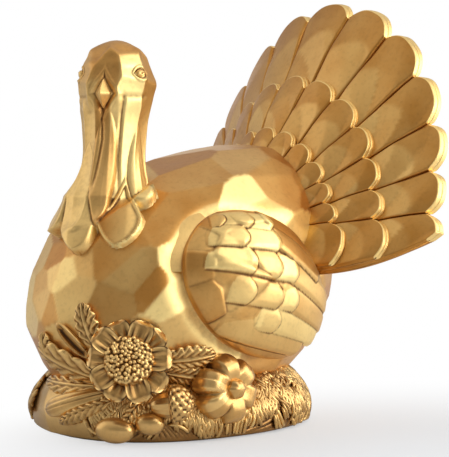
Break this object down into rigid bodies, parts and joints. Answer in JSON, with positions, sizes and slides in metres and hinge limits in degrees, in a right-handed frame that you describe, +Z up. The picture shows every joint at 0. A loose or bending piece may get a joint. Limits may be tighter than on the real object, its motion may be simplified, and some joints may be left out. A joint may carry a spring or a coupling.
{
  "type": "thanksgiving turkey figure",
  "caption": "Gold turkey figure with chisel-cut facets, a fanned tail, folded wings and a wattle, sitting on a straw mound dressed with a sunflower, pumpkin, nuts, leaves and wheat.",
  "frame": {"origin": "middle of the felt pad's underside, on the surface that the figure stands on", "axes": "+Z up; the bird faces -Y; +X is the bird's left side, along the spread of the tail fan"},
  "size_m": [0.2512, 0.2062, 0.2436],
  "materials": {
    "bird_gold": "satin metallic gold paint over cast resin, flat chisel facets",
    "tail_gold": "satin metallic gold paint, a little darker and browner than the body",
    "antique_gold": "metallic gold paint with a brown antique wash in the recesses",
    "felt": "dark flat felt glued under the stand"
  },
  "bodies": {
    "root": {"felt_pad": "felt", "base_mound": "antique_gold", "body": "bird_gold", "neck_head": "bird_gold", "beak": "bird_gold", "eye_left": "bird_gold", "eye_right": "bird_gold", "wattle_centre": "bird_gold", "wattle_inner_left": "bird_gold", "wattle_inner_right": "bird_gold", "wattle_outer_left": "bird_gold", "wattle_outer_right": "bird_gold", "wing_left": "bird_gold", "wing_right": "bird_gold", "tail_feather_outer_1": "tail_gold", "tail_feather_outer_2": "tail_gold", "tail_feather_outer_3": "tail_gold", "tail_feather_outer_4": "tail_gold", "tail_feather_outer_5": "tail_gold", "tail_feather_outer_6": "tail_gold", "tail_feather_outer_7": "tail_gold", "tail_feather_outer_8": "tail_gold", "tail_feather_outer_9": "tail_gold", "tail_feather_outer_10": "tail_gold", "tail_feather_outer_11": "tail_gold", "tail_feather_outer_12": "tail_gold", "tail_feather_outer_13": "tail_gold", "tail_feather_middle_1": "tail_gold", "tail_feather_middle_2": "tail_gold", "tail_feather_middle_3": "tail_gold", "tail_feather_middle_4": "tail_gold", "tail_feather_middle_5": "tail_gold", "tail_feather_middle_6": "tail_gold", "tail_feather_middle_7": "tail_gold", "tail_feather_middle_8": "tail_gold", "tail_feather_middle_9": "tail_gold", "tail_feather_middle_10": "tail_gold", "tail_feather_middle_11": "tail_gold", "tail_feather_middle_12": "tail_gold", "tail_feather_middle_13": "tail_gold", "tail_collar": "tail_gold", "sunflower_disc": "antique_gold", "sunflower_petals": "antique_gold", "pumpkin_stem": "antique_gold", "pumpkin": "antique_gold", "acorn_cup": "antique_gold", "acorn_nut": "antique_gold", "nut_long": "antique_gold", "nut_round": "antique_gold", "leaf_upright": "antique_gold", "leaf_boat": "antique_gold", "leaf_oak_top": "antique_gold", "leaf_oak": "antique_gold", "leaf_ash": "antique_gold", "leaf_right_upper": "antique_gold", "leaf_right_lower": "antique_gold", "corn_husk": "antique_gold", "wheat_ear_long": "antique_gold", "wheat_ear_short": "antique_gold"}
  },
  "joints": []
}
